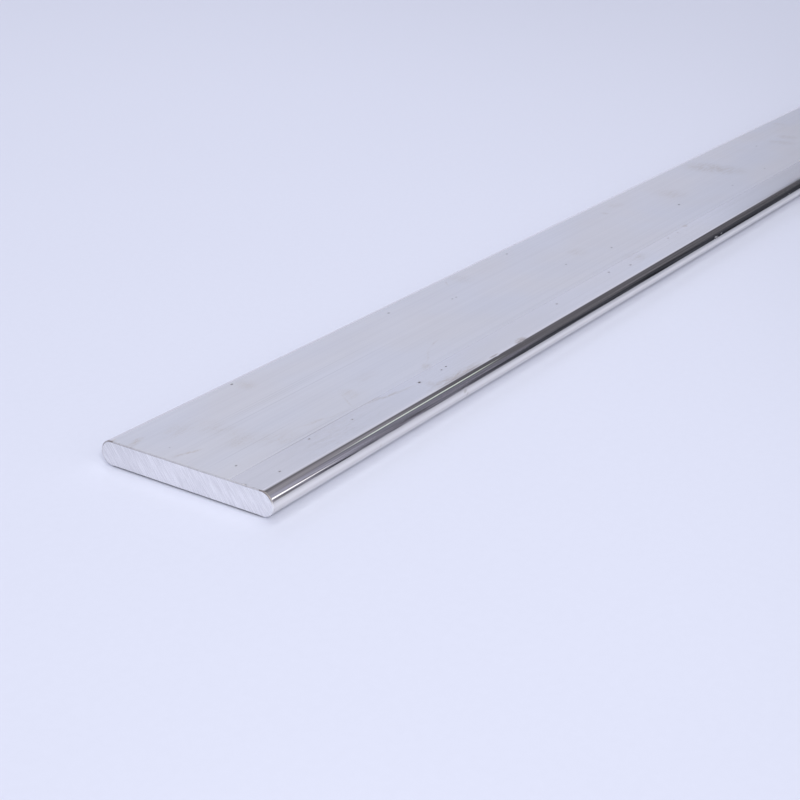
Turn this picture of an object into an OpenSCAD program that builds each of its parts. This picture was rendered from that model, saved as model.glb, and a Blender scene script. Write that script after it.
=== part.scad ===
// Flat aluminium busbar: undrilled extruded stock with full-round edges and square sawn ends.
// It lies flat: length along X, width along Y, underside on Z = 0, origin in the middle of the underside.

/* [Section] */
// Width across the two round edges
bar_width = 80; // [20:1:200]
// Thickness between the two flat faces
bar_thickness = 10; // [3:0.5:16]

/* [Length] */
// Length between the two sawn ends
bar_length = 1000; // [250:50:6000]

/* [Sawn ends] */
// Burr filed off all round each sawn end, as a 45 degree edge break
end_break = 0.3; // [0.1:0.05:1]

/* [Colour] */
// Mill-finish aluminium
bar_color = "#c4c5d1"; // color

/* [Hidden] */
// A full-round edge is one half circle from face to face
edge_radius = bar_thickness / 2;
// Each flat face ends where the round edges begin
flat_width = bar_width - 2 * edge_radius;
// Half the length, and the part of it that has the full section
half_length = bar_length / 2;
half_full = half_length - end_break;
// Half the thickness left at the sawn face, inside the edge break
sawn_radius = edge_radius - end_break;
// Fine enough for a smooth view of the round edges
$fn = 96;

// Flat middle of the bar, from one round edge to the other: its side view carried across the width
module flat_web() {
    translate([0, flat_width / 2, 0])
        rotate([90, 0, 0])
            linear_extrude(height = flat_width)
                polygon([
                    [-half_full, -edge_radius],
                    [half_full, -edge_radius],
                    [half_length, -sawn_radius],
                    [half_length, sawn_radius],
                    [half_full, edge_radius],
                    [-half_full, edge_radius],
                    [-half_length, sawn_radius],
                    [-half_length, -sawn_radius]
                ]);
}

// One long edge: half a rod turned about the bar's length, with the same break at its two ends
module round_edge() {
    rotate([0, 90, 0])
        rotate_extrude(angle = 180)
            polygon([
                [0, -half_length],
                [sawn_radius, -half_length],
                [edge_radius, -half_full],
                [edge_radius, half_full],
                [sawn_radius, half_length],
                [0, half_length]
            ]);
}

module busbar() {
    color(bar_color)
        translate([0, 0, edge_radius]) {
            flat_web();
            for (side = [0, 1])
                mirror([0, side, 0])
                    translate([0, flat_width / 2, 0])
                        round_edge();
        }
}

busbar();
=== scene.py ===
import math

import bpy
import numpy as np
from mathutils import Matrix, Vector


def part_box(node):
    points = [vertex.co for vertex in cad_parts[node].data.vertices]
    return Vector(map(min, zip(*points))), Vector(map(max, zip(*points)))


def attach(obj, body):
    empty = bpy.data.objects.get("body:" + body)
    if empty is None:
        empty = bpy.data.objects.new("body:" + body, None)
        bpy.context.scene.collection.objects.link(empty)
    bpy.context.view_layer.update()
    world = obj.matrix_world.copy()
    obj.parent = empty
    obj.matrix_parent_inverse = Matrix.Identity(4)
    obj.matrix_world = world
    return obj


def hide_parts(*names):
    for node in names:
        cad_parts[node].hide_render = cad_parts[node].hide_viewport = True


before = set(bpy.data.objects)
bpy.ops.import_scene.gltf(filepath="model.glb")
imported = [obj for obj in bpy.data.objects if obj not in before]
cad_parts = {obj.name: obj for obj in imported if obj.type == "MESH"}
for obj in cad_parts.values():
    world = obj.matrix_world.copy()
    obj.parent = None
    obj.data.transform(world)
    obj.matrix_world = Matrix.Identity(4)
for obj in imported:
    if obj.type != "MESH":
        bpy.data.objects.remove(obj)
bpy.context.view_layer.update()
scene = bpy.context.scene
scene.view_settings.view_transform = "Standard"
mm = 0.001

# the bar's own sizes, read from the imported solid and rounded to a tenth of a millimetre
boxLow, boxHigh = (np.array(corner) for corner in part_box("busbar"))
barLength, barWidth, barThick = np.round(boxHigh - boxLow, 4)
edgeRadius = barThick / 2
flatHalf = barWidth / 2 - edgeRadius
nearX = -barLength / 2
print("frame loaded: bar", barLength, barWidth, barThick)


# node helpers shared by all materials

def addNode(tree, kind, sockets=None, **settings):
    made = tree.nodes.new(kind)
    for name, value in settings.items():
        setattr(made, name, value)
    for name, value in (sockets or {}).items():
        if isinstance(value, bpy.types.NodeSocket):
            tree.links.new(value, made.inputs[name])
        else:
            made.inputs[name].default_value = value
    return made


def maths(tree, operation, *terms):
    return addNode(tree, "ShaderNodeMath", dict(enumerate(terms)), operation=operation).outputs[0]


def times(tree, first, second):
    return maths(tree, "MULTIPLY", first, second)


def minus(tree, first, second):
    return maths(tree, "SUBTRACT", first, second)


def ramp(tree, value, start, end, low=0.0, high=1.0):  # smooth step from low at start to high at end
    sockets = {"Value": value, "From Min": start, "From Max": end, "To Min": low, "To Max": high}
    return addNode(tree, "ShaderNodeMapRange", sockets, interpolation_type="SMOOTHSTEP").outputs[0]


def mixColour(tree, factor, first, second, blend="MIX"):
    sockets = {0: factor, 6: first, 7: second}
    return addNode(tree, "ShaderNodeMix", sockets, data_type="RGBA", blend_type=blend).outputs[2]


def tint(tree, colour, factor):  # a colour times a number or another colour
    return mixColour(tree, 1.0, colour, factor, "MULTIPLY")


def noise(tree, place, stretch, detail=2.0, rough=0.5):  # stretch: noise cells per metre along x, y and z
    moved = addNode(tree, "ShaderNodeMapping", {"Vector": place, "Scale": stretch}).outputs[0]
    sockets = {"Vector": moved, "Scale": 1.0, "Detail": detail, "Roughness": rough}
    return addNode(tree, "ShaderNodeTexNoise", sockets).outputs[0]


def softSpot(tree, place, centre, half, turn=0.0, inner=0.3):  # 1 in an ellipsoid, 0 from its rim on
    sockets = {"Vector": place, "Location": centre, "Rotation": (0, 0, math.radians(turn)), "Scale": half}
    local = addNode(tree, "ShaderNodeMapping", sockets, vector_type="TEXTURE").outputs[0]
    reach = addNode(tree, "ShaderNodeVectorMath", {0: local}, operation="LENGTH").outputs["Value"]
    return ramp(tree, reach, 1.0, inner)


def strongest(tree, total, spot, strength):  # the marks so far, or this one where it is stronger
    return maths(tree, "MAXIMUM", total, times(tree, spot, strength))


def bumpFrom(tree, height, deep):  # deep: mm, the bump of a height of 1
    sockets = {"Height": height, "Strength": 1.0, "Distance": deep * mm}
    return addNode(tree, "ShaderNodeBump", sockets).outputs[0]


def inMetres(sizes):  # from millimetres
    return [size * mm for size in sizes]


def newMaterial(name):
    made = bpy.data.materials.new(name)
    made.use_nodes = True
    tree = made.node_tree
    tree.nodes.clear()
    out = addNode(tree, "ShaderNodeOutputMaterial")
    shader = addNode(tree, "ShaderNodeBsdfPrincipled")
    tree.links.new(shader.outputs[0], out.inputs["Surface"])
    place = addNode(tree, "ShaderNodeTexCoord").outputs["Object"]
    return made, tree, shader, place


def feed(tree, shader, **sockets):
    for name, value in sockets.items():
        target = shader.inputs[name.replace("_", " ")]
        if isinstance(value, bpy.types.NodeSocket):
            tree.links.new(value, target)
        else:
            target.default_value = value


# satin flat faces: lengthwise die lines, brown water stains, dark specks

satin = {
    "coolColour": (0.854, 0.861, 0.876, 1),
    "warmColour": (0.866, 0.857, 0.845, 1),
    "stripColour": (0.965, 0.962, 0.950, 1),  # what the strip multiplies the colour by
    "stainColour": (0.58, 0.50, 0.40, 1),
    "speckColour": (0.14, 0.12, 0.11, 1),
    "roughness": 0.34,
    "stripRoughness": 0.17,
    "bump": 0.0025,
    "stripFrom": -21.0,  # the smoother strip along the near edge, mm across
    "wander": 4.0,  # mm, how far the stains' outlines wander
    "markReach": 4.0,  # mm that a mark reaches into the bar, so the underside has none
    "stainShare": 0.60,
    "speckShare": 0.9,
    "lineShade": 0.65,  # how dark the strongest die line is
    # die lines: mm from the near end to the line's middle, mm across, half length, strength
    "lines": (
        (480, -21.0, 560, 0.3), (50, -21.0, 60, 0.6), (520, -25.2, 560, 0.22),
        (85, 14.5, 110, 0.32), (70, 13.0, 60, 0.3), (66, 12.0, 50, 0.25), (64, 10.5, 46, 0.22),
        (80, 8.2, 110, 0.32), (120, 5.3, 120, 0.15), (28, -8.8, 40, 0.35), (48, -19.2, 40, 0.35),
        (640, 27.5, 300, 0.2), (760, -4.0, 260, 0.3), (300, -28.6, 320, 0.2),
        (820, 18.0, 200, 0.3),
    ),
    "lineHalf": 0.40,
    # stains: mm from the near end, mm across, half length, half width, turn, strength
    "stains": (
        (4, 27, 7, 2.2, 8, 1.1), (8, 5, 8, 1.1, -20, 1.0), (1, 35, 2.5, 1.5, 0, 1.6),
        (21, 21, 13, 9, 0, 0.38), (30, 10, 9, 20, 4, 0.34), (27, -4, 12, 9, 0, 0.42),
        (36, -14, 16, 9, -35, 0.40), (60, -16.5, 20, 1.2, -15, 0.5),
        (91, -23.5, 18, 1.7, -11.5, 1.0), (79, -12, 12, 0.7, 55, 0.5), (50, -27, 40, 14, 0, 0.30),
        (84, -10, 5, 8, -30, 0.5), (100, -6, 14, 6, 10, 0.25), (124, -19.5, 6, 3.0, 40, 0.8),
        (134, -13.5, 10, 0.8, 30, 0.65), (147, -7.5, 11, 0.8, 15, 0.5),
        (110, -30, 3.2, 6.0, 0, 0.55), (124, -34.2, 26, 3.4, 0, 1.6), (150, -35, 4, 1.2, 0, 1.8),
        (172, -34.8, 5, 1.6, 0, 2.2), (68, 29, 6, 8, -20, 0.5), (217, 31, 7, 0.7, 45, 0.55),
        (226, 29, 9, 9, 0, 0.3), (305, -24, 11, 9, 0, 0.55), (367, -21, 4.2, 2.2, 0, 1.4),
        (295, 4, 9, 8, 0, 0.40), (488, 15, 16, 26, 8, 0.95), (421, 12, 12, 14, 0, 0.5),
        (364, 24, 3, 3, 0, 0.7), (382, 27, 8, 6, 0, 0.4), (574, 7, 8, 14, 20, 0.6),
        (591, 9, 8, 9, 20, 0.6), (624, 28, 5, 8, 0, 0.4), (742, -12, 22, 7, -6, 0.5),
        (815, 20, 11, 15, 0, 0.45), (868, -27, 6, 3, 0, 1.0), (930, 5, 9, 18, 4, 0.45),
        (975, -18, 14, 10, 0, 0.5), (492, -33.5, 16, 2.2, 0, 0.9),
    ),
    # specks: mm from the near end, mm across, radius, strength
    "specks": (
        (10, -15.6, 0.9, 0.7), (42, -23, 0.9, 0.75), (15, -31, 0.9, 0.7), (8, 13.7, 0.7, 0.25),
        (109, -26, 1.3, 1.0), (65, -25.5, 0.9, 0.5), (125, -26, 0.8, 0.9), (129, -25.5, 0.9, 0.9),
        (65.5, 33.7, 1.1, 0.8), (168, 30, 1.4, 0.45), (200, 17, 1.0, 0.4), (203, 16.8, 1.0, 0.4),
        (221, -25.6, 1.2, 0.6), (272, 31, 1.2, 0.5), (274, -1.3, 1.1, 0.4), (275, -24, 1.2, 0.6),
        (291, -27.5, 1.3, 0.6), (311, -7, 1.2, 0.5), (342, -23.5, 1.1, 0.5),
        (354, -23.3, 1.0, 0.4), (403, -1.3, 1.4, 0.7), (458, -9.5, 1.3, 0.3),
        (505, -10, 1.3, 0.3), (556, 16, 1.6, 0.3), (655, -14, 1.2, 0.5), (702, 22, 1.1, 0.6),
        (731, -29, 1.2, 0.7), (798, 3, 1.1, 0.5), (846, -20, 1.3, 0.7), (905, 28, 1.0, 0.5),
        (957, -4, 1.1, 0.6),
    ),
}


def topPoint(along, across):  # a point of the top face, from millimetres along and across
    return (nearX + along * mm, across * mm, barThick)


def satinFace():
    made, tree, shader, place = newMaterial("satinAluminium")
    wander = noise(tree, place, (120, 120, 120), 3.0)
    reach = satin["wander"] * mm
    sockets = {0: wander, 1: (reach, reach, 0)}
    shift = addNode(tree, "ShaderNodeVectorMath", sockets, operation="MULTIPLY").outputs[0]
    warped = addNode(tree, "ShaderNodeVectorMath", {0: place, 1: shift}).outputs[0]
    blotch = ramp(tree, noise(tree, place, (160, 600, 350), 4.0, 0.7), 0.35, 0.65, 0.15, 1.0)
    speckle = ramp(tree, noise(tree, place, (1300, 1300, 1300), 2.0), 0.36, 0.62, 0.45, 1.1)
    blotch = times(tree, blotch, speckle)
    stain = 0.0
    for along, across, halfLong, halfWide, turn, strength in satin["stains"]:
        # the noise's mean is a half, so the wandered place is half the reach further on
        centre = (nearX + along * mm + reach / 2, across * mm + reach / 2, barThick)
        half = inMetres((halfLong, halfWide, satin["markReach"]))
        spot = softSpot(tree, warped, centre, half, turn, 0.0)
        stain = strongest(tree, stain, spot, strength)
    stain = maths(tree, "MINIMUM", times(tree, stain, blotch), 1.0)
    speck = 0.0
    for along, across, radius, strength in satin["specks"]:
        half = inMetres((radius, radius * 0.7, satin["markReach"]))
        spot = softSpot(tree, place, topPoint(along, across), half, 12, 0.2)
        speck = strongest(tree, speck, spot, strength)
    scratch = 0.0
    for along, across, halfLong, strength in satin["lines"]:
        half = inMetres((halfLong, satin["lineHalf"], satin["markReach"]))
        spot = softSpot(tree, place, topPoint(along, across), half, 0, 0.3)
        scratch = strongest(tree, scratch, spot, strength)
    fine = noise(tree, place, (3, 2600, 30), 3.0, 0.6)
    broad = noise(tree, place, (1.5, 700, 30), 3.0, 0.7)
    haze = noise(tree, place, (18, 26, 18), 3.0)
    lines = maths(tree, "MULTIPLY_ADD", broad, 0.5, times(tree, fine, 0.5))
    shade = ramp(tree, lines, 0.35, 0.65, 0.970, 1.018)
    shade = times(tree, shade, ramp(tree, haze, 0.3, 0.7, 0.985, 1.01))
    shade = times(tree, shade, ramp(tree, scratch, 0.0, 1.0, 1.0, satin["lineShade"]))
    cloud = ramp(tree, noise(tree, place, (14, 22, 14), 2.0), 0.36, 0.64)
    colour = mixColour(tree, cloud, satin["coolColour"], satin["warmColour"])
    colour = tint(tree, colour, shade)
    colour = mixColour(tree, times(tree, stain, satin["stainShare"]), colour, satin["stainColour"])
    colour = mixColour(tree, times(tree, speck, satin["speckShare"]), colour, satin["speckColour"])
    across = addNode(tree, "ShaderNodeSeparateXYZ", {0: place}).outputs["Y"]
    edge = satin["stripFrom"] * mm
    strip = ramp(tree, across, edge + 0.001, edge - 0.001)
    colour = mixColour(tree, strip, colour, tint(tree, colour, satin["stripColour"]))
    rough = ramp(tree, strip, 0.0, 1.0, satin["roughness"], satin["stripRoughness"])
    rough = maths(tree, "MULTIPLY_ADD", minus(tree, lines, 0.5), 0.08, rough)
    rough = maths(tree, "MULTIPLY_ADD", stain, 0.10, rough)
    rough = maths(tree, "MULTIPLY_ADD", speck, 0.4, rough)
    height = maths(tree, "MULTIPLY_ADD", fine, 0.5, broad)
    height = maths(tree, "MULTIPLY_ADD", speck, -4.0, height)
    bump = bumpFrom(tree, height, satin["bump"])
    feed(tree, shader, Base_Color=colour, Metallic=1.0, Roughness=rough, Normal=bump)
    return made


# mirror-bright round edges, with fine lengthwise streaks and a few dirty scratches

bright = {
    "colour": (0.94, 0.915, 0.885, 1),
    "dirtColour": (0.36, 0.30, 0.24, 1),
    "roughness": 0.042,
    "bump": 0.0025,
    # dirt: mm from the near end, degrees round from the top, half length, half width, strength
    "dirt": (
        (121, 84, 1.6, 1.2, 0.7), (123, 112, 0.7, 2.2, 0.5), (63, 104, 0.8, 1.6, 0.5),
        (355, 100, 0.8, 2.4, 0.35), (204, 40, 0.4, 0.8, 0.4), (126, 3, 24, 1.3, 0.9),
        (150, 2, 5, 0.8, 0.9), (172, 5, 6, 1.4, 1.1),
    ),
    # scuffs: matt patches, in the same terms
    "scuffs": (
        (366, 68, 4.5, 1.3, 1.0), (374, 60, 3.0, 0.5, 0.6), (352, 72, 5.0, 0.6, 0.5),
        (470, 67, 2.5, 0.8, 0.7), (655, 66, 4.0, 0.9, 0.8), (880, 60, 3.5, 0.8, 0.7),
    ),
}


def edgePoint(along, degrees):  # a point of the near round edge, by its angle from the top
    angle = math.radians(degrees)
    across = -flatHalf - edgeRadius * math.sin(angle)
    return (nearX + along * mm, across, edgeRadius * (1 + math.cos(angle)))


def edgeMarks(tree, place, marks):  # soft spots on the near round edge
    total = 0.0
    for along, degrees, halfLong, halfWide, strength in marks:
        half = inMetres((halfLong, halfWide, halfWide))
        spot = softSpot(tree, place, edgePoint(along, degrees), half)
        total = strongest(tree, total, spot, strength)
    return total


def brightEdge():
    made, tree, shader, place = newMaterial("brightAluminium")
    dirt = edgeMarks(tree, place, bright["dirt"])
    scuff = edgeMarks(tree, place, bright["scuffs"])
    scuff = times(tree, scuff, ramp(tree, noise(tree, place, (500, 900, 900), 3.0, 0.7), 0.40, 0.60))
    streak = noise(tree, place, (4, 900, 900), 3.0, 0.6)
    wave = noise(tree, place, (22, 240, 240), 2.0)
    cloud = noise(tree, place, (60, 90, 90), 3.0)
    shade = ramp(tree, streak, 0.3, 0.7, 0.88, 1.03)
    colour = tint(tree, bright["colour"], shade)
    colour = mixColour(tree, times(tree, dirt, cloud), colour, bright["dirtColour"])
    rough = maths(tree, "MULTIPLY_ADD", minus(tree, streak, 0.5), 0.05, bright["roughness"])
    rough = maths(tree, "MULTIPLY_ADD", dirt, 0.25, rough)
    rough = maths(tree, "MULTIPLY_ADD", scuff, 0.45, rough)
    height = maths(tree, "MULTIPLY_ADD", wave, 7.0, streak)
    bump = bumpFrom(tree, height, bright["bump"])
    feed(tree, shader, Base_Color=colour, Metallic=1.0, Roughness=rough, Normal=bump)
    return made


# sawn ends: pale and matt, with slanted saw lines, a burr, and painted shade, shadow and dark reflections
# round the rims

sawn = {
    "colour": (0.959, 0.951, 0.965, 1),
    "lineColour": (0.66, 0.65, 0.675, 1),
    "burrAndShadeColour": (0.30, 0.26, 0.235, 1),  # dull burr round the upper rim with painted shade, also the colour of the painted rim shade, rim shadow and dark corner reflections
    "burrAndShadeShare": 0.9,
    "burrShadeDepth": 0.38,  # mm in from the rim to the burr line, a real burr darkened with painted shade
    "burrShadeHalf": (0.24, 0.08),  # mm, where the line ends and where it is full
    "burrShadeStrength": (0.66, 0.46),  # at the middle, and past 20 mm to the near side
    "rimShadeDepth": (0.64, 0.46),  # mm, the painted shade on the rim outside the burr line
    "rimShadeStrength": 0.20,
    "roundRimShadeFrom": (0.4, 1.4),  # mm out from the flat, where the painted rim shade grows to full round the round ends
    "roundRimShadeStrength": (0.6, 0.95),
    "farRimShadowStrength": 0.42,  # painted shadow line down the far rim
    "darkReflectionOut": 0.3,  # mm out from the flat to the painted dark reflection at each top corner
    "darkReflectionHalf": (1.8, 1.0),
    "darkReflectionDepth": (0.6, 0.3),
    "contactShadowColour": (0.12, 0.115, 0.12, 1),  # painted contact shadow along the underside rim of the cut
    "contactShadowShare": 0.9,
    "contactShadowHeight": (0.44, 0.25),  # mm
    "contactShadowSide": (37.0, 33.0),  # mm out from the middle, where it ends
    "paintedSideShade": (0.945, 1.0),  # painted shade: a little darker to the far side
    "roughness": 0.50,
    "bump": 0.02,
    "lineShare": 0.50,
    "lineSlope": 55.0,  # degrees from the level, as seen from outside the near end
    "relief": 0.009,  # mm, depth of the coarse saw lines
    "coarse": 0.55,  # mm between the coarse lines
    "seed": 7,
}


def sawnFace():
    made, tree, shader, place = newMaterial("sawnAluminium")
    slope = math.radians(sawn["lineSlope"])
    sockets = {"Vector": place, "Rotation": (-slope, 0, 0)}
    turned = addNode(tree, "ShaderNodeMapping", sockets).outputs[0]
    fine = noise(tree, turned, (150, 150, 3600), 3.0, 0.65)
    broad = noise(tree, turned, (110, 110, 2600), 3.0, 0.6)
    grain = noise(tree, place, (2400, 2400, 2400), 2.0)
    cut = maths(tree, "ABSOLUTE", minus(tree, noise(tree, turned, (60, 45, 1400), 2.0), 0.5))
    cut = times(tree, ramp(tree, cut, 0.06, 0.01), ramp(tree, grain, 0.35, 0.60, 0.35, 1.0))
    line = times(tree, ramp(tree, broad, 0.48, 0.66), sawn["lineShare"])
    line = maths(tree, "MAXIMUM", line, times(tree, cut, sawn["lineShare"]))
    colour = mixColour(tree, line, sawn["colour"], sawn["lineColour"])
    colour = tint(tree, colour, ramp(tree, grain, 0.3, 0.7, 0.95, 1.05))
    colour = tint(tree, colour, ramp(tree, fine, 0.3, 0.7, 0.95, 1.03))
    part = addNode(tree, "ShaderNodeSeparateXYZ", {0: place}).outputs
    # painted shade: the face darker towards the far side
    colour = tint(tree, colour, ramp(tree, part["Y"], 0.034, 0.006, *sawn["paintedSideShade"]))
    ragged = ramp(tree, noise(tree, place, (400, 260, 400), 3.0, 0.7), 0.30, 0.62, 0.70, 1.0)
    side = maths(tree, "ABSOLUTE", part["Y"])
    outward = maths(tree, "MAXIMUM", minus(tree, side, flatHalf), 0.0)
    upward = minus(tree, part["Z"], edgeRadius)
    square = maths(tree, "MULTIPLY_ADD", outward, outward, times(tree, upward, upward))
    depth = minus(tree, edgeRadius, maths(tree, "SQRT", square))  # in from the rim of the section
    # the burr line near the upper rim: a real burr, darkened further by painted shade
    band = maths(tree, "ABSOLUTE", minus(tree, depth, sawn["burrShadeDepth"] * mm))
    burrAndShade = times(tree, ramp(tree, band, *inMetres(sawn["burrShadeHalf"])), ragged)
    burrAndShade = times(tree, burrAndShade, ramp(tree, part["Y"], 0.0, -0.02, *sawn["burrShadeStrength"]))
    # painted shade on the end break outside the burr line, stronger round the round ends and towards the
    # near side
    rim = ramp(tree, depth, *inMetres(sawn["rimShadeDepth"]))
    paintedRimShade = times(tree, ramp(tree, outward, *inMetres(sawn["roundRimShadeFrom"])),
                 ramp(tree, part["Y"], 0.0, -flatHalf, *sawn["roundRimShadeStrength"]))
    paintedRimShade = times(tree, rim, maths(tree, "MAXIMUM", paintedRimShade, sawn["rimShadeStrength"]))
    # painted shadow: the rim shade carries on down the far rim to the floor; elsewhere the burr and rim
    # shade keep to the upper part of the face
    farRimShadow = ramp(tree, part["Y"], flatHalf * 0.98, flatHalf * 1.03, 0.0, sawn["farRimShadowStrength"])
    burrAndShade = times(tree, maths(tree, "MAXIMUM", burrAndShade, paintedRimShade),
                 ramp(tree, part["Z"], barThick * 0.55, barThick * 0.80, farRimShadow, 1.0))
    # painted reflection: a short dark mark at each top corner, where the round edge begins
    corner = maths(tree, "ABSOLUTE", minus(tree, side, flatHalf + sawn["darkReflectionOut"] * mm))
    corner = times(tree, ramp(tree, corner, *inMetres(sawn["darkReflectionHalf"])),
                   ramp(tree, depth, *inMetres(sawn["darkReflectionDepth"])))
    corner = times(tree, corner, ramp(tree, upward, 0.0, 0.001))
    burrAndShade = maths(tree, "MAXIMUM", burrAndShade, corner)
    # painted contact shadow: a dark band low on the face along the underside rim, fading out round the
    # round ends
    foot = times(tree, ramp(tree, part["Z"], *inMetres(sawn["contactShadowHeight"])),
                 ramp(tree, side, *inMetres(sawn["contactShadowSide"])))
    # the burr, the painted rim shade and shadow and the painted corner reflections, all in one dark colour
    colour = mixColour(tree, times(tree, burrAndShade, sawn["burrAndShadeShare"]), colour, sawn["burrAndShadeColour"])
    colour = mixColour(tree, times(tree, foot, sawn["contactShadowShare"]), colour, sawn["contactShadowColour"])
    rough = maths(tree, "MULTIPLY_ADD", minus(tree, fine, 0.5), 0.2, sawn["roughness"])
    height = maths(tree, "MULTIPLY_ADD", fine, 0.5, broad)
    bump = bumpFrom(tree, height, sawn["bump"])
    feed(tree, shader, Base_Color=colour, Metallic=1.0, Roughness=rough, Normal=bump)
    return made


# the bar itself: one closed surface

barShape = {
    "endBreak": 0.3,  # mm, edge break of the sawn ends, as in the solid
    "breakSteps": 4,  # stations in each end break
    "roundSteps": 24,  # columns in each quarter circle
    "flatStep": 0.55,  # mm between columns on the flats
    "stationStep": 12.5,  # mm between stations along the bar
    "capRows": 22,
    "rimRow": 0.05,  # mm, first row of the sawn face inside its rim
    # die lines: mm across, depth in mm
    "dieLines": (
        (14.5, 0.004), (13.0, 0.003), (8.2, 0.004), (-8.8, 0.003), (-21.0, 0.0025),
        (-25.2, 0.002), (27.5, 0.002),
    ),
    "dieLineHalf": 0.18,
    # dings: mm from the near end, mm round the section from the top middle to the near side,
    # half length, half width, depth
    "dings": (
        (152, 35.3, 1.0, 0.7, 0.10), (172, 35.1, 1.6, 0.8, 0.14), (366, 40.5, 1.4, 2.6, 0.05),
        (121, 42.3, 1.2, 1.0, 0.05), (63, 44.0, 0.8, 1.6, 0.03), (0.2, 28.2, 0.8, 0.7, 0.16),
        (640, 36.0, 1.4, 0.9, 0.10), (835, 41.0, 1.2, 2.0, 0.05), (220, -36.0, 1.4, 0.9, 0.10),
        (580, -41.5, 1.2, 2.2, 0.05), (905, -35.4, 1.5, 0.8, 0.12),
    ),
}


def sectionColumns():
    # across the section: a quarter circle, the flat with its die lines, a quarter circle
    # each column has a foot on the middle line and a direction, so a point is foot + radius * direction
    quarter = np.linspace(0, np.pi / 2, barShape["roundSteps"] + 1)
    flatCount = int(round(2 * flatHalf / (barShape["flatStep"] * mm)))
    flat = np.linspace(-flatHalf, flatHalf, flatCount + 1)[1:-1]
    lineY = np.array([y for y, depth in barShape["dieLines"]]) * mm
    lineY = (lineY[:, None] + np.array([-1, 0, 1]) * barShape["dieLineHalf"] * mm).ravel()
    flat = np.unique(np.round(np.concatenate([flat, lineY]), 6))
    foot = np.concatenate([np.full(quarter.size, -flatHalf), flat, np.full(quarter.size, flatHalf)])
    sideways = np.concatenate([-np.cos(quarter), np.zeros(flat.size), np.cos(quarter[::-1])])
    upwards = np.concatenate([np.sin(quarter), np.ones(flat.size), np.sin(quarter[::-1])])
    return foot, sideways, upwards


def roundTheSection(foot, sideways, upwards):
    # the closed loop: the columns' tops from the near side to the far side, then their undersides back
    back = slice(-2, 0, -1)
    foot = np.concatenate([foot, foot[back]])
    ny = np.concatenate([sideways, sideways[back]])
    nz = np.concatenate([upwards, -upwards[back]])
    # distance round the section from the top middle, positive to the near side
    tilt = np.arctan2(np.abs(ny), nz)
    side = np.where(foot + ny <= 0, 1.0, -1.0)
    arc = np.where(nz > 0.99999, np.abs(foot), flatHalf + edgeRadius * tilt)
    arc = np.where(nz < -0.99999, flatHalf + np.pi * edgeRadius + flatHalf - np.abs(foot), arc)
    return foot, ny, nz, side * arc


def stationsAlong():
    # distance along and inset of each station: a quarter-round end break, even steps with more round
    # the dings, and the other break
    quarter = np.linspace(0, np.pi / 2, barShape["breakSteps"] + 1)
    rim = barShape["endBreak"] * mm
    out = rim * (1 - np.cos(quarter))
    inset = rim * (1 - np.sin(quarter))
    even = np.arange(barShape["stationStep"], barLength / mm, barShape["stationStep"]) * mm
    spread = np.array([-2.2, -1.5, -1.0, -0.6, -0.2, 0.2, 0.6, 1.0, 1.5, 2.2])
    near = np.concatenate([ding[0] * mm + spread * ding[2] * mm for ding in barShape["dings"]])
    middle = np.unique(np.round(np.concatenate([even, near]), 5))
    middle = middle[(middle > rim * 1.5) & (middle < barLength - rim * 1.5)]
    along = np.concatenate([out, middle, barLength - out[::-1]])
    return along, np.concatenate([inset, np.zeros(middle.size), inset[::-1]])


def sawRelief(y, z, seed):
    # depth of the saw lines: uneven ridges across the slanted direction q = y sin(slope) - z cos(slope)
    slope = math.radians(sawn["lineSlope"])
    q = (y * math.sin(slope) - z * math.cos(slope)) / mm
    draw = np.random.default_rng(seed)
    knots = np.arange(-50, 50, sawn["coarse"] / 2)
    ridges = np.interp(q, knots, draw.random(knots.size))
    slow = np.interp(q, knots[::7], draw.random(knots[::7].size))
    return (0.7 * ridges + 0.3 * slow) * sawn["relief"] * mm


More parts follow.
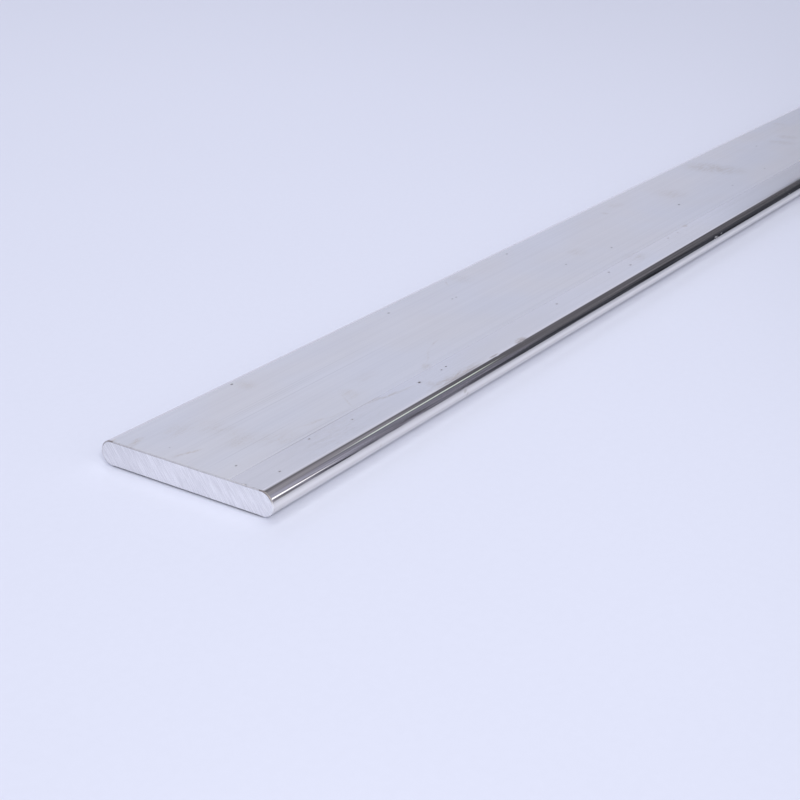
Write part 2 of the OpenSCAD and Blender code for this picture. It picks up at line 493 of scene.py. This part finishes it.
def busbarSurface():
    foot, sideways, upwards = sectionColumns()
    columns = foot.size
    loopFoot, ny, nz, arc = roundTheSection(foot, sideways, upwards)
    around = loopFoot.size
    along, inset = stationsAlong()
    count = along.size

    # radius of the section at every station: full, less the end break, the die lines and the dings
    groove = np.zeros(around)
    for y, depth in barShape["dieLines"]:
        groove += depth * mm * (np.abs(loopFoot - y * mm) < 1e-6) * (np.abs(nz) > 0.99999)
    radius = edgeRadius - inset[:, None] - groove[None, :]
    for atX, atArc, halfLong, halfWide, depth in barShape["dings"]:
        dent = ((along[:, None] / mm - atX) / halfLong) ** 2 + ((arc[None, :] / mm - atArc) / halfWide) ** 2
        radius = radius - depth * mm * np.exp(-dent)
    x = np.broadcast_to(nearX + along[:, None], radius.shape)
    body = np.stack([x, loopFoot + radius * ny, edgeRadius + radius * nz], -1).reshape(-1, 3)

    s = np.arange(count - 1)[:, None]
    k = np.arange(around)[None, :]
    k2 = (k + 1) % around
    quads = np.stack([s * around + k, (s + 1) * around + k, (s + 1) * around + k2, s * around + k2], -1)
    # finishes: 0 on the flats, 1 on the round edges, 2 on the end breaks
    flat = np.abs(nz) > 0.99999
    strip = np.where(flat & np.roll(flat, -1), 0, 1)
    zone = np.broadcast_to(strip, quads.shape[:2]).copy()
    breakSteps = barShape["breakSteps"]
    zone[:breakSteps] = 2
    zone[-breakSteps:] = 2

    # sawn faces: each column of the section filled from its underside to its top
    rows = barShape["capRows"]
    rimRow = barShape["rimRow"] * mm / barThick
    rise = np.concatenate([[0.0], np.linspace(rimRow, 1 - rimRow, rows - 1), [1.0]])
    inner = edgeRadius - barShape["endBreak"] * mm
    y = np.broadcast_to(foot + inner * sideways, (rows + 1, columns))
    z = edgeRadius + (2 * rise[:, None] - 1) * inner * upwards
    points, faces, zones = [body], quads.reshape(-1, 4).tolist(), zone.ravel().tolist()
    start = len(body)
    for end, first in ((0, 0), (1, (count - 1) * around)):
        relief = sawRelief(y, z, sawn["seed"] + end)
        capX = nearX + relief if end == 0 else nearX + barLength - relief
        inside = np.stack([capX, y, z], -1)[1:-1, 1:-1].reshape(-1, 3)
        index = np.empty((rows + 1, columns), int)
        index[-1] = first + np.arange(columns)
        index[0] = first + (2 * columns - 2 - np.arange(columns)) % around
        index[0, -1] = first + columns - 1
        index[1:-1, 0] = index[0, 0]
        index[1:-1, -1] = index[0, -1]
        index[1:-1, 1:-1] = start + np.arange(len(inside)).reshape(rows - 1, columns - 2)
        start += len(inside)
        points.append(inside)
        cap = np.stack([index[:-1, :-1], index[1:, :-1], index[1:, 1:], index[:-1, 1:]], -1)
        if end:
            cap = cap[..., ::-1]
        capFaces = cap[:, 1:-1].reshape(-1, 4).tolist()
        capFaces += [list(dict.fromkeys(face)) for face in cap[:, [0, -1]].reshape(-1, 4).tolist()]
        faces += capFaces
        zones += [2] * len(capFaces)
    return np.concatenate(points), faces, zones


def makeBusbar():
    points, faces, zones = busbarSurface()
    mesh = bpy.data.meshes.new("busbarBody")
    mesh.from_pydata(points.tolist(), [], faces)
    mesh.polygons.foreach_set("material_index", zones)
    mesh.polygons.foreach_set("use_smooth", [True] * len(faces))
    mesh.update()
    for finish in (satinFace(), brightEdge(), sawnFace()):
        mesh.materials.append(finish)
    piece = bpy.data.objects.new("busbarBody", mesh)
    scene.collection.objects.link(piece)
    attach(piece, "root")
    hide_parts("busbar")
    print("busbar made:", len(points), "points,", len(faces), "faces")
    return piece


makeBusbar()

# pale floor, with painted light fall-off

floorLook = {
    "size": 60.0,
    "gap": 0.3,  # mm under the bar, which rests on its high spots
    "colour": (0.778, 0.802, 0.920, 1),
    "roughness": 0.25,
    "sheen": 0.5,
    "sheenEnds": (1.05, 1.70),  # metres from the bar's middle, where the sheen fades out
    "paintedFadeWay": (1.0, -0.8, 0),  # painted light fall-off: the floor's colour gets a little darker this way
    "paintedFadeFrom": (-0.35, 0.40),
    "paintedDim": 0.925,
}


def makeFloor():
    made, tree, shader, place = newMaterial("paleFloor")
    grain = ramp(tree, noise(tree, place, (300, 300, 300), 2.0), 0.3, 0.7, 0.992, 1.0)
    colour = tint(tree, floorLook["colour"], grain)
    # painted light fall-off: the floor's colour darkens along one direction
    sockets = {0: place, 1: floorLook["paintedFadeWay"]}
    off = addNode(tree, "ShaderNodeVectorMath", sockets, operation="DOT_PRODUCT").outputs["Value"]
    paintedFade = ramp(tree, off, *floorLook["paintedFadeFrom"], 1.0, floorLook["paintedDim"])
    colour = tint(tree, colour, paintedFade)
    reach = addNode(tree, "ShaderNodeVectorMath", {0: place}, operation="LENGTH").outputs["Value"]
    sheen = ramp(tree, reach, *floorLook["sheenEnds"], floorLook["sheen"], 0.0)
    feed(tree, shader, Base_Color=colour, Roughness=floorLook["roughness"], Specular_IOR_Level=sheen)
    half = floorLook["size"] / 2
    mesh = bpy.data.meshes.new("floor")
    corners = [(-half, -half, 0), (half, -half, 0), (half, half, 0), (-half, half, 0)]
    mesh.from_pydata(corners, [], [(0, 1, 2, 3)])
    mesh.materials.append(made)
    floor = bpy.data.objects.new("floor", mesh)
    floor.location.z = -floorLook["gap"] * mm
    scene.collection.objects.link(floor)


makeFloor()
print("floor made")

# studio room: a pale cove all round, a soft ceiling, and a dark stretch of room beyond the bar's far end
# azimuths are degrees from +X towards +Y, elevations are above the horizon

room = {
    "coveBack": (0.64, 0.66, 0.815, 1),
    "coveFront": (1.05, 1.06, 1.12, 1),
    "frontAzimuth": -125.0,
    "frontFrom": (0.1, 0.7),  # cosines of the angle from it, where the front begins and is full
    "coveTop": (32.0, 43.5),
    "backdrop": (0.70, 0.72, 0.86, 1),  # what the camera sees above the floor
    "band": (0.25, 0.247, 0.28, 1),
    "ceiling": (0.78, 0.79, 0.84, 1),
    "ceilingFrom": (50.0, 60.0),
    # the dark stretch: from the azimuth darkFrom to darkEdge, which bows out above and bulges below
    "darkFrom": (-66.0, -58.0),
    "darkEdge": 14.1,
    "darkBow": (24.0, 0.036),
    "darkStep": (19.0, 16.0, 14.4, 12.2, 6.2),
    "darkLow": (12.5, 9.0, 3.5),  # low down the edge comes in again
    "darkSoft": 4.0,
    "darkTop": (48.0, 56.0),
    "gloom": (0.036, 0.038, 0.050, 1),  # low in the dark stretch
    "dusk": (0.122, 0.120, 0.142, 1),  # in the middle of it
    "duskFrom": (14.0, 27.0),
    "glow": (0.31, 0.305, 0.36, 1),  # at its top, most to the side
    "glowFrom": (37.0, 43.0),
    "glowSide": (25.0, -12.0),
    "mottle": (0.78, 1.20),  # how unevenly the dark stretch is lit
    # things standing low in the dark stretch: degrees wide and tall, darkest and lightest, upper end
    "clutterSize": (1.0, 11.0),
    "clutter": (0.22, 1.8),
    "clutterTop": (32.0, 24.0),
    # a paler wall low in the middle of it: azimuth and elevation, half sizes, and where it fades
    "farWall": (0.50, 0.52, 0.63, 1),
    "farWallMiddle": (-2.0, 0.0),
    "farWallHalf": (22.0, 23.6),
    "farWallFade": (0.92, 0.70),
    # light from the side, in two steps, by the azimuth less sideTilt times the elevation above sideLevel
    "sideLevel": 10.0,
    "sideTilt": 0.8,
    "sideNear": (0.187, 0.187, 0.245, 1),
    "sideNearFrom": (-35.5, -41.0),
    "sideLight": (0.335, 0.337, 0.43, 1),
    "sideFrom": (-45.5, -54.0),
    # soft lamps: azimuth, elevation, half sizes, softness, lean, colour
    "lamps": (
        (-12.6, 38.5, 1.9, 2.7, 0.8, -0.47, (1.38, 1.57, 1.51, 1)),
        (-49.5, 5.0, 3.0, 6.5, 2.5, 0.0, (0.42, 0.415, 0.48, 1)),
        (-45.8, 20.8, 4.2, 4.4, 0.5, 0.0, (1.32, 1.33, 1.41, 1)),
    ),
}


def makeRoom():
    world = bpy.data.worlds.new("studioRoom")
    scene.world = world
    world.use_nodes = True
    tree = world.node_tree
    tree.nodes.clear()
    way = addNode(tree, "ShaderNodeTexCoord").outputs["Generated"]
    part = addNode(tree, "ShaderNodeSeparateXYZ", {0: way}).outputs
    azimuth = maths(tree, "DEGREES", maths(tree, "ARCTAN2", part[1], part[0]))
    elevation = maths(tree, "DEGREES", maths(tree, "ARCSINE", part[2]))

    def away(angle, centre):
        return maths(tree, "ABSOLUTE", minus(tree, angle, centre))

    front = math.radians(room["frontAzimuth"])
    ahead = addNode(tree, "ShaderNodeVectorMath", {0: way, 1: (math.cos(front), math.sin(front), 0)},
                    operation="DOT_PRODUCT").outputs["Value"]
    cove = mixColour(tree, ramp(tree, ahead, *room["frontFrom"]), room["coveBack"], room["coveFront"])
    colour = mixColour(tree, ramp(tree, elevation, *room["coveTop"]), cove, room["band"])
    colour = mixColour(tree, ramp(tree, elevation, *room["ceilingFrom"]), colour, room["ceiling"])
    dark = mixColour(tree, ramp(tree, elevation, *room["duskFrom"]), room["gloom"], room["dusk"])
    glow = times(tree, ramp(tree, elevation, *room["glowFrom"]),
                 ramp(tree, azimuth, *room["glowSide"]))
    dark = mixColour(tree, glow, dark, room["glow"])
    raised = maths(tree, "MAXIMUM", minus(tree, elevation, room["sideLevel"]), 0.0)
    tilted = maths(tree, "MULTIPLY_ADD", raised, -room["sideTilt"], azimuth)
    dark = mixColour(tree, ramp(tree, tilted, *room["sideNearFrom"]), dark, room["sideNear"], "LIGHTEN")
    dark = mixColour(tree, ramp(tree, tilted, *room["sideFrom"]), dark, room["sideLight"], "LIGHTEN")
    mottle = ramp(tree, noise(tree, way, (16, 16, 24), 3.0, 0.6), 0.32, 0.68, *room["mottle"])
    dark = tint(tree, dark, mottle)
    wide, tall = room["clutterSize"]
    grid = addNode(tree, "ShaderNodeCombineXYZ", {0: azimuth, 1: elevation}).outputs[0]
    things = noise(tree, grid, (1 / wide, 1 / tall, 1.0), 2.0, 0.6)
    things = ramp(tree, things, 0.36, 0.64, *room["clutter"])
    clutter = tint(tree, dark, things)
    dark = mixColour(tree, ramp(tree, elevation, *room["clutterTop"]), dark, clutter)
    spread = []
    for angle, middle, half in zip((azimuth, elevation), room["farWallMiddle"], room["farWallHalf"]):
        spread.append(maths(tree, "DIVIDE", minus(tree, angle, middle), half))
    square = maths(tree, "MULTIPLY_ADD", spread[0], spread[0], times(tree, spread[1], spread[1]))
    wall = ramp(tree, maths(tree, "SQRT", square), *room["farWallFade"])
    dark = mixColour(tree, wall, dark, room["farWall"])
    top, upper, lower, foot, out = room["darkStep"]
    step = times(tree, ramp(tree, elevation, top, upper),
                 ramp(tree, elevation, foot, lower, 0.0, out))
    high, low, back = room["darkLow"]
    step = minus(tree, step, ramp(tree, elevation, high, low, 0.0, back))
    level, bow = room["darkBow"]
    over = maths(tree, "MAXIMUM", minus(tree, elevation, level), 0.0)
    step = maths(tree, "MULTIPLY_ADD", times(tree, over, over), bow, step)
    inward = minus(tree, azimuth, step)
    mask = ramp(tree, inward, room["darkEdge"] + room["darkSoft"], room["darkEdge"] - room["darkSoft"])
    mask = times(tree, mask, ramp(tree, azimuth, *room["darkFrom"]))
    mask = times(tree, mask, ramp(tree, elevation, room["darkTop"][1], room["darkTop"][0]))
    colour = mixColour(tree, mask, colour, dark)
    for atAzimuth, atElevation, halfWide, halfTall, soft, lean, shade in room["lamps"]:
        rise = minus(tree, elevation, atElevation)
        middle = maths(tree, "MULTIPLY_ADD", rise, lean, atAzimuth)
        wide = ramp(tree, away(azimuth, middle), halfWide + soft, halfWide - soft)
        tall = ramp(tree, maths(tree, "ABSOLUTE", rise), halfTall + soft, halfTall - soft)
        colour = mixColour(tree, times(tree, wide, tall), colour, shade)
    seen = addNode(tree, "ShaderNodeLightPath").outputs["Is Camera Ray"]
    colour = mixColour(tree, seen, colour, room["backdrop"])
    shine = addNode(tree, "ShaderNodeBackground", {"Color": colour, "Strength": 1.0})
    out = addNode(tree, "ShaderNodeOutputWorld")
    tree.links.new(shine.outputs[0], out.inputs["Surface"])


makeRoom()

# soft lamps: a key overhead, a sheen from behind and a fill from in front of the near end

# place in metres, size of the square, power in watts, and whether the metal mirrors the lamp
lamps = {
    "key": {"place": (-0.04, 0.51, 1.77), "size": 0.5, "power": 4.3, "mirrored": False},
    "sheen": {"place": (0.63, 0.88, 2.05), "size": 0.5, "power": 3.05, "mirrored": True},
    "fill": {"place": (-1.50, -1.385, 1.375), "size": 0.5, "power": 18.2, "mirrored": True},
}
lampAim = (-0.50, 0.0, 0.0)


def makeLamp(name, place, size, power, mirrored):
    data = bpy.data.lights.new(name, "AREA")
    data.shape = "SQUARE"
    data.size = size
    data.energy = power
    lamp = bpy.data.objects.new(name, data)
    lamp.location = place
    way = np.array(lampAim) - np.array(place)
    tip = math.atan2(math.hypot(way[0], way[1]), -way[2])
    lamp.rotation_euler = (tip, 0, math.atan2(-way[0], way[1]))
    lamp.visible_camera = False
    lamp.visible_glossy = mirrored
    scene.collection.objects.link(lamp)


for name, settings in lamps.items():
    makeLamp(name + "Lamp", **settings)
print("room and lamps made")

# camera at the photograph's viewing angle

view = {
    "fromNearEnd": (-344.4, -328.8, 236.1),  # mm, from the underside middle of the near end
    "pitch": 23.20,  # degrees down
    "heading": 34.54,  # degrees from the bar's length
    "lens": 67.3,
    "sensor": 36.0,
}


def makeCamera():
    data = bpy.data.cameras.new("camera")
    data.lens = view["lens"]
    data.sensor_width = view["sensor"]
    camera = bpy.data.objects.new("camera", data)
    camera.location = np.array([nearX, 0, 0]) + np.array(view["fromNearEnd"]) * mm
    camera.rotation_euler = (math.radians(90 - view["pitch"]), 0, math.radians(view["heading"] - 90))
    scene.collection.objects.link(camera)
    scene.camera = camera


makeCamera()
print("camera made")
